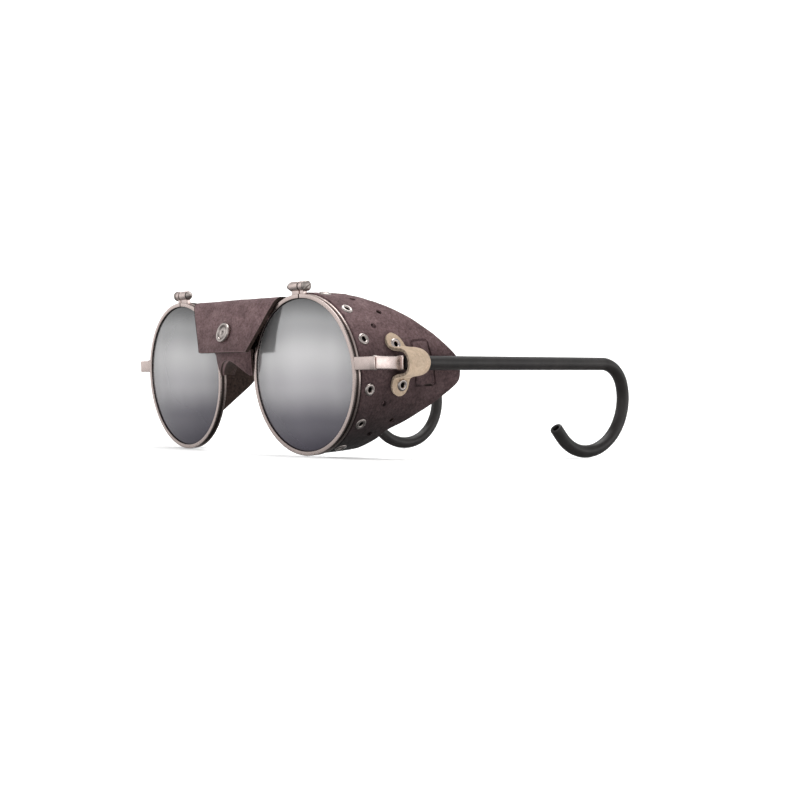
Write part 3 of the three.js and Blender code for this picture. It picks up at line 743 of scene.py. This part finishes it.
def shield_band(side, label):
    """The thin metal hoop that the shield's eyelets are riveted to, notched for the folded temple."""
    rings = []
    for angle in range(BAND_FROM, BAND_TO + 1):
        inside = min(1.0, max(0.0, min(angle - NOTCH_FROM, NOTCH_TO - angle) / 2))
        rear = BAND_REAR + (NOTCH_REAR - BAND_REAR) * inside
        profile = rounded([(0, BAND_FRONT), (BAND_THICKNESS, BAND_FRONT), (BAND_THICKNESS, rear),
                           (0, rear)], 0.15)
        drop_in = shield_radius(angle) - LEATHER - 0.85
        a = math.radians(angle)
        rings.append([((drop_in + r) * math.cos(a), y, (drop_in + r) * math.sin(a)) for r, y in profile])
    thing = show(f"{label}_shield_band", Shape().rings(rings), eye(side), ROSE, 40)
    settle(thing, "rose_metal", "front", f"shield_band_{label}")


def eyelet_shape(face, back):
    """A rolled eyelet: rounded flange outside, clenched flange inside, open barrel between them."""
    flange, hole = 2.02, 0.8
    outer = []
    for k in range(9):
        a = math.pi * k / 8
        outer.append(((flange + hole) / 2 + (flange - hole) / 2 * math.cos(a), face + 0.48 * math.sin(a)))
    inner = [(r, back - (y - face) * 0.8) for r, y in outer[::-1]]
    inside = [(hole, face - 0.25), (hole, back + 0.25)]
    shape = lathe(outer + inside + inner + [(1.1, back), (1.1, face)], 36)
    # The inside of the barrel is marked for painted shade.
    shape.edge = [1.0 if p.xz.length < hole + 0.02 and back < p.y < face - 0.1 else 0.0 for p in shape.points]
    return shape


def eyelets(side, label):
    for k, angle in enumerate(EYELET_ANGLES, 1):
        face = shield_radius(angle)
        shape = outwards(eyelet_shape(face, face - LEATHER - 0.95), angle, EYELET_Y)
        thing = show(f"{label}_shield_eyelet_{k}", shape, eye(side), EYELET, 50)
        settle(thing, "rose_metal", "front", f"shield_eyelet_{label}_{k}")


# ---------------------------------------------------------------- straps

# Middle of the strap's section from the upper lobe, over the tube, to the lower lobe, in the eye's
# frame: x, z, then the front and rear edges' y.
STRAP = (
    (24.7, 12.3, 16.6, 17.7), (25.05, 11.75, 15.2, 18.9), (25.65, 10.8, 14.3, 19.9), (26.2, 9.8, 14.0, 20.5),
    (26.6, 8.9, 14.0, 20.9), (27.0, 8.1, 14.5, 21.1), (27.6, 7.5, 15.3, 21.3), (29.2, 7.2, 15.8, 21.6),
    (31.2, 7.0, 15.7, 22.3), (33.3, 6.3, 15.3, 23.2), (34.95, 4.8, 14.9, 23.8), (35.7, 2.7, 14.7, 24.0),
    (34.95, 0.5, 14.9, 23.8), (33.3, -0.7, 15.2, 23.4), (31.2, -1.2, 15.3, 22.9), (29.2, -1.45, 15.2, 22.6),
    (28.0, -2.0, 14.9, 22.3), (27.65, -3.1, 14.6, 21.8), (27.45, -4.6, 14.4, 21.4), (27.2, -6.0, 14.8, 21.0),
    (26.95, -7.1, 15.8, 20.2), (26.75, -7.85, 17.2, 18.8),
)


def smooth_line(points, count):
    """Catmull-Rom curve through the points, with count steps between each pair."""
    ends = [points[0] * 2 - points[1], *points, points[-1] * 2 - points[-2]]
    line = []
    for i in range(1, len(ends) - 2):
        a, b, c, d = ends[i - 1:i + 3]
        for k in range(count):
            t = k / count
            line.append(0.5 * (2 * b + (c - a) * t + (2 * a - 5 * b + 4 * c - d) * t * t
                               + (3 * b - a - 3 * c + d) * t ** 3))
    return [*line, points[-1]]


def strap(side, label):
    thickness = 1.15
    line = smooth_line([Vector(p) for p in STRAP], 5)
    rings, edge = [], []
    for k, at in enumerate(line):
        ahead = line[min(k + 1, len(line) - 1)] - line[max(k - 1, 0)]
        out = Vector((-ahead.y, ahead.x)).normalized()
        ring = []
        for y, depth, raw in strip_section(at.z, at.w, thickness, 16, corner=min(0.3, (at.w - at.z) * 0.3)):
            lift = thickness / 2 - depth + noise.noise(Vector((k * 0.05, y * 0.25, side * 2.3))) * 0.08
            x, z = Vector((at.x, at.y)) + out * lift
            ring.append((x, y, z))
            edge.append(raw)
        rings.append(ring)
    thing = show(f"{label}_temple_strap", Shape().rings(rings, edge=edge), eye(side), TAN, 60)
    holes = [eyelet_hole(angle, y) for angle, y, _ in STRAP_EYELETS]
    cut(thing, "holes", joined(*holes), eye(side))
    follow_shield(thing, side, label, "tan_leather", f"temple_strap_{label}")
    for angle, y, name in STRAP_EYELETS:
        face = SHIELD_OUTER + 0.35 + thickness
        shape = outwards(eyelet_shape(face, SHIELD_OUTER - LEATHER - 0.1), angle, y)
        rivet = show(f"{label}_strap_eyelet_{name}", shape, eye(side), EYELET, 50)
        follow_shield(rivet, side, label, "rose_metal", f"strap_eyelet_{label}_{name}")


# ---------------------------------------------------------------- nose cover and flap


def sheet_between(columns, thickness, count, rough=0.12, seed=0.0):
    """A leather sheet whose columns are (start, end, place) with place(t) giving a point and its normal."""
    rings, edge = [], []
    last = len(columns) - 1
    for k, place in enumerate(columns):
        at_side = 1.0 if k in (0, last) else 0.0
        ring = []
        for t, depth, raw in strip_section(0.0, place.length, thickness, count):
            point, out = place(t / place.length)
            lift = noise.noise(point * 0.13 + Vector((seed, 0, 0))) * rough
            fray = noise.noise(point * 1.9) * 0.12 * max(at_side, raw)
            ring.append(point + out * (lift - depth) + Vector((fray, 0, fray)))
            # The side columns are cut edges and the back is painted shade, both in the dark raw colour.
            edge.append(max(at_side, raw, 0.8 if depth == thickness else 0.0))
        rings.append(ring)
    return Shape().rings(rings, edge=edge)


class Column:
    """One column of a sheet: a smooth line of points with the direction that the face looks in."""

    def __init__(self, points):
        self.points = points
        self.length = sum((b - a).length for a, b in zip(points, points[1:]))

    def __call__(self, t):
        t = min(max(t, 0.0), 1.0)
        left = t * self.length
        for a, b in zip(self.points, self.points[1:]):
            step = (b - a).length
            if left <= step or b is self.points[-1]:
                break
            left -= step
        ahead = (b - a).normalized()
        across = Vector((1, 0, 0))
        return a.lerp(b, left / step), across.cross(ahead).normalized()


def flap_half(z):
    share = (z - FLAP_BOTTOM[1]) / (FLAP_TOP[1] - FLAP_BOTTOM[1])
    return FLAP_HALF_BOTTOM + (FLAP_HALF_TOP - FLAP_HALF_BOTTOM) * min(1.0, share)


def flap_face(z):
    """How far forward the flap's outer face stands at a height."""
    return FLAP_TOP[0] - (FLAP_TOP[1] - z) * math.tan(math.radians(FLAP_SLOPE))


def nose_flap():
    """Front flap, crowned slightly between its sides, with the fold over the top."""
    fold_from, fold_radius, fold_end = 24.0, 3.2, 1.9
    columns = []
    for k in range(61):
        u = 2 * k / 60 - 1
        points = []
        for j in range(25):
            z = FLAP_BOTTOM[1] + (fold_from - FLAP_BOTTOM[1]) * j / 24
            crown = 0.5 * (1 - u * u) * (1 - j / 24)
            points.append(Vector((u * flap_half(z), flap_face(z) - crown, z)))
        slope = math.radians(FLAP_SLOPE)
        hub = Vector((flap_face(fold_from) + fold_radius * math.cos(slope),
                      fold_from - fold_radius * math.sin(slope)))
        for j in range(1, 9):
            a = slope + (math.pi / 2 - slope) * j / 8
            y, z = hub.x - fold_radius * math.cos(a), hub.y + fold_radius * math.sin(a)
            points.append(Vector((u * flap_half(z), y, z)))
        points.append(Vector((u * FLAP_HALF_TOP, fold_end, hub.y + fold_radius)))
        columns.append(Column(points))
    thing = show("front_nose_flap", sheet_between(columns, NOSE_LEATHER, 48, 0.25), FRONT, BROWN, 60)
    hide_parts("nose_flap")
    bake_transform(thing)


def arch_edge(u):
    """Edge of the arch over the nose, from the left leg (-1) to the right leg (1): x and z."""
    out = math.sin(u * math.pi / 2)
    return Vector(((LEG_TIP - 0.9) * out, ARCH * (1 - abs(out) ** 1.8)))


def panel_half(z, top, top_half):
    """Half the width of a panel of the cover: it widens from the tips of the legs to its top."""
    if z < FLAP_BOTTOM[1]:
        return LEG_TIP + (LEG_TOP - LEG_TIP) * rounding(z)
    return LEG_TOP + (top_half - LEG_TOP) * (z - FLAP_BOTTOM[1]) / (top - FLAP_BOTTOM[1])


def rounding(z):
    """How much of a leg's full width it has at a height: the tips are rounded off."""
    return 1 - (1 - min(z / FLAP_BOTTOM[1], 1.0)) ** 3


def inverted_u(depth, top, top_half):
    """Columns of a sheet with two legs, from the arch's edge out to its sides and top."""
    columns = []
    count, corner = 96, 0.3
    for k in range(count + 1):
        u = 2 * k / count - 1
        inner = arch_edge(u)
        if abs(u) > corner:
            z = top * (1 - (abs(u) - corner) / (1 - corner)) ** 1.15
            outer = Vector((math.copysign(panel_half(z, top, top_half), u), z))
        else:
            outer = Vector((top_half * u / corner, top))
        points = []
        for x, z in (inner.lerp(outer, j / 18) for j in range(19)):
            half = panel_half(z, top, top_half)
            x = min(max(x, -half), half)
            points.append(Vector((x, depth(x, z, x / half), z)))
        columns.append(Column(points))
    return columns


def front_depth(x, z, share):
    """Front panel: close behind the flap in the middle, its sides turned back on to the rims."""
    middle = min(-1.0, flap_face(max(z, 7.0)) + 2.2 + 0.12 * max(0.0, 7.0 - z))
    aside = -1.3 - rounding(z) if z < 9 else min(-0.6, flap_face(z) + 1.5)
    return middle + (aside - middle) * min(1.0, abs(share)) ** 2.4


def back_depth(x, z, share):
    return 3.3 + 0.35 * share * share


def arch_lining():
    """Leather that lines the arch from the front panel to the back one."""
    columns = []
    for k in range(49):
        x, z = arch_edge(2 * k / 48 - 1)
        start, end = front_depth(x, z, x / LEG_TIP) + 0.3, back_depth(x, z, 1) - 0.6
        columns.append([Vector((x * 1.01, start + (end - start) * j / 8,
                                z + 0.25 * math.sin(math.pi * j / 8))) for j in range(9)])
    rings = []
    for k, column in enumerate(columns):
        ahead = columns[min(k + 1, 48)][4] - columns[max(k - 1, 0)][4]
        out = Vector((-ahead.z, 0, ahead.x)).normalized() * 0.9
        rings.append(column + [p + out for p in column[::-1]])
    # Almost all of the lining is marked for painted shade under the arch.
    return Shape().rings(rings, edge=[0.0, 0.2, 0.6, *[1.0] * 15] * 49)


def nose_cover():
    front = sheet_facing(inverted_u(front_depth, 23.2, 23.6), 0.2, 3.0, 1)
    back = sheet_facing(inverted_u(back_depth, 24.0, 24.6), 0.2, 9.0, -1)
    top = []
    for k in range(61):
        x = (1 - 2 * k / 60) * FLAP_HALF_TOP
        points = [Vector((x, 1.3, 26.15)), Vector((x, 2.0, 26.15))]
        points += [Vector((x, 2.0 + 2.2 * math.sin(a), 23.95 + 2.2 * math.cos(a)))
                   for a in (math.pi / 2 * j / 8 for j in range(1, 9))]
        points += [Vector((x * 0.985, 4.2, 22.5)), Vector((x * 0.96, 4.2, 21.0))]
        top.append(Column(points))
    top = sheet_between(top, 0.9, 24, 0.15, 5.0)
    thing = show("leather_nose_cover", joined(front, back, arch_lining(), top), FRONT, BROWN, 60)
    settle(thing, "brown_leather", "front", "nose_cover")


def sheet_facing(columns, rough, seed, front):
    """Like sheet_between, for columns that run out from a curved edge.

    front says where the face looks: forwards (1) or back (-1).
    """
    rings, edge = [], []
    for k, column in enumerate(columns):
        ring = []
        tip = 1.0 if k in (0, len(columns) - 1) else 0.0
        for t, depth, raw in strip_section(0.0, column.length, NOSE_LEATHER, 18):
            point, _ = column(t / column.length)
            lift = noise.noise(point * 0.2 + Vector((seed, 0, 0))) * rough
            ring.append(point + Vector((0, front * (depth - lift), 0)))
            # The faces that look into the cover are marked for painted shade; the tips and the rounded sides
            # are cut edges.
            edge.append(max(raw, tip, 1.0 if depth == NOSE_LEATHER else 0.0))
        rings.append(ring)
    return Shape().rings(rings, edge=edge)


def bridge_bar():
    rings = []
    for k in range(33):
        u = 2 * k / 32 - 1
        centre = Vector((BRIDGE_HALF * u, 0.8, 19.5 - 3.4 * u * u))
        ahead = Vector((BRIDGE_HALF, 0, -6.8 * u)).normalized()
        up = ahead.cross(Vector((0, 1, 0)))
        rings.append([centre + 0.9 * math.cos(a) * Vector((0, 1, 0)) + 1.2 * math.sin(a) * up
                      for a in (2 * math.pi * j / 24 for j in range(24))])
    thing = show("bridge", Shape().rings(rings), FRONT, ROSE, 40)
    settle(thing, "rose_metal", "front", "bridge_bar")


def snap():
    """Ring-shaped cap outside, its socket behind, and the stud and post that it closes on."""
    down = (FLAP_TOP[1] - SNAP_Z) / math.cos(math.radians(FLAP_SLOPE))
    face = -1.45
    cap = [(0, face + 0.3), (0.35, face + 0.27), (0.55, face - 0.02), (1.2, face - 0.2),
           (1.75, face - 0.12), (2.05, face + 0.15), (2.25, face + 0.22), (2.4, face + 0.1),
           (2.55, face - 0.22), (2.95, face - 0.4), (3.35, face - 0.25), (3.52, face + 0.15),
           (3.55, face + 0.6), (3.3, face + 1.3), (0.9, face + 1.5), (0.9, NOSE_LEATHER - 0.1),
           (0, NOSE_LEATHER - 0.1)]
    on_flap = FLAP @ Matrix.Translation((0, 0, -down))
    dome = lathe(cap, 64)
    # The groove round the cap and its middle are painted darker as painted shade.
    dome.edge = [0.4 if 2.1 < p.xz.length < 2.3 or p.xz.length < 0.36 else 0.0 for p in dome.points]
    thing = show("snap_ring_cap", dome, on_flap, EYELET, 45)
    settle(thing, "rose_metal", "nose_flap", "snap_cap")
    from_y = NOSE_LEATHER + 0.1
    socket = rounded([(1.75, from_y), (2.9, from_y), (2.9, from_y + 0.55), (1.75, from_y + 0.55)], 0.2)
    thing = show("snap_spring_socket", lathe(socket, 48), on_flap, EYELET, 45)
    settle(thing, "rose_metal", "nose_flap", "snap_socket")
    seat = NOSE_LEATHER + 0.85
    stud = [(0, seat - 0.75), (1.0, seat - 0.75), (1.35, seat - 0.6), (1.3, seat - 0.25), (2.0, seat - 0.15),
            (2.0, seat), (0, seat)]
    thing = show("snap_stud_head", lathe(stud, 48), on_flap, EYELET, 45)
    settle(thing, "rose_metal", "front", "snap_stud")
    back = NOSE_LEATHER * 2 + 1.05
    post = [(0, seat + 0.2), (0.9, seat + 0.2), (0.9, back), (2.6, back), (2.55, back + 0.25),
            (2.3, back + 0.4), (0, back + 0.4)]
    thing = show("snap_post_rivet", lathe(post, 48), on_flap, EYELET, 45)
    settle(thing, "rose_metal", "front", "snap_post")


# ---------------------------------------------------------------- assembly
for label, side in SIDES:
    rim(side, label)
    lens(side, label)
    closing_screw(side, label)
    end_piece(side, label)
    hinge_screw(side, label)
    temple_bar(side, label)
    temple_tube(side, label)
    shield(side, label)
    shield_band(side, label)
    eyelets(side, label)
    strap(side, label)
    wire = frame["nodes"][f"temple_wire_{label}"]
    wire.data.materials.clear()
    wire.data.materials.append(STEEL)
nose_cover()
nose_flap()
bridge_bar()
snap()

# ---------------------------------------------------------------- studio


def studio():
    """A pale sweep: floor, a wide curve and a wall that runs all round the view."""
    near, far, height, bend = 1.6, 1.9, 2.2, 0.8
    profile = [(-near, 0.0), (far - bend, 0.0)]
    profile += [(far - bend + bend * math.sin(a), bend - bend * math.cos(a))
                for a in (math.pi / 2 * k / 16 for k in range(1, 17))]
    profile.append((far, height))
    view = turn(math.degrees(VIEW_TURN), "Z")
    mesh = bpy.data.meshes.new("sweep")
    points = [view @ Vector((x, y, z - 0.0002)) for y, z in profile for x in (-3.0, 3.0)]
    faces = [(2 * k, 2 * k + 1, 2 * k + 3, 2 * k + 2) for k in range(len(profile) - 1)]
    mesh.from_pydata(points, [], faces)
    sweep = bpy.data.objects.new("sweep", mesh)
    bpy.context.collection.objects.link(sweep)
    mesh.shade_smooth()
    paint = Paint("studio_paper", Roughness=0.9, Specular_IOR_Level=0.1, Emission_Color=(1, 1, 1, 1),
                  Emission_Strength=0.3)
    paper = paint.ramp(paint.noise(300.0, 2), (0.3, (0.93, 0.93, 0.93)), (0.7, (0.95, 0.95, 0.95)))
    mesh.materials.append(paint.finish(paper))
    sweep.visible_glossy = False


def lamp(name, place, size, power, target=(0, 0, 0.03)):
    light = bpy.data.lights.new(name, "AREA")
    light.shape, light.size, light.size_y, light.energy = "RECTANGLE", size[0], size[1], power
    thing = bpy.data.objects.new(name, light)
    bpy.context.collection.objects.link(thing)
    thing.location = place
    thing.rotation_euler = (Vector(target) - Vector(place)).to_track_quat("-Z", "Y").to_euler()
    return thing


SKY = ((0.0, 0.12), (0.3, 0.3), (0.46, 0.8), (0.55, 0.98), (0.9, 0.35))


def studio_light():
    """Light from all round, white at the horizon, dimmer overhead and dark towards the table."""
    world = bpy.data.worlds.new("studio")
    bpy.context.scene.world = world
    world.use_nodes = True
    nodes, links = world.node_tree.nodes, world.node_tree.links
    place = nodes.new("ShaderNodeTexCoord")
    split = nodes.new("ShaderNodeSeparateXYZ")
    share = nodes.new("ShaderNodeMapRange")
    share.inputs["From Min"].default_value = -1.0
    band = nodes.new("ShaderNodeValToRGB")
    while len(band.color_ramp.elements) < len(SKY):
        band.color_ramp.elements.new(0.5)
    for element, (at, grey) in zip(band.color_ramp.elements, SKY):
        element.position, element.color = at, (grey, grey, grey, 1)
    links.new(place.outputs["Generated"], split.inputs["Vector"])
    links.new(split.outputs["Z"], share.inputs["Value"])
    links.new(share.outputs["Result"], band.inputs["Fac"])
    links.new(band.outputs["Color"], nodes["Background"].inputs["Color"])


def camera():
    """Three-quarter view from the wearer's left, at the place that fits both rims of the photo."""
    eye_point = in_metres(FRONT, (436.717, -287.710, 15.003))
    yaw, pitch, roll = VIEW_TURN, VIEW_PITCH, VIEW_ROLL
    ahead = Vector((-math.sin(yaw) * math.cos(pitch), math.cos(yaw) * math.cos(pitch), -math.sin(pitch)))
    right = Vector((math.cos(yaw), math.sin(yaw), 0))
    down = ahead.cross(right)
    picture_right = math.cos(roll) * right + math.sin(roll) * down
    picture_down = -math.sin(roll) * right + math.cos(roll) * down
    tilt = FRONT.to_3x3()
    axes = Matrix([tilt @ picture_right, -(tilt @ picture_down), -(tilt @ ahead)]).transposed()
    data = bpy.data.cameras.new("camera")
    data.lens, data.sensor_width, data.clip_start = 67.5, 36.0, 0.01
    thing = bpy.data.objects.new("camera", data)
    bpy.context.collection.objects.link(thing)
    thing.matrix_world = Matrix.Translation(eye_point) @ axes.to_4x4()
    bpy.context.scene.camera = thing


studio()
camera()
lamp("overhead", (0.0, 0.15, 1.2), (1.0, 0.9), 9.5)
lamp("front_left", (-0.6, -1.2, 0.8), (1.0, 0.8), 2.0)
side_glow = lamp("rear_right", (1.1, 0.75, 0.12), (0.9, 0.4), 1.2)
side_glow.visible_diffuse = False
lamp("wall", (-0.4, 0.5, 1.3), (1.6, 0.6), 14, target=(-1.2, 1.1, 0.4))
studio_light()
bpy.context.scene.view_settings.view_transform = "Standard"
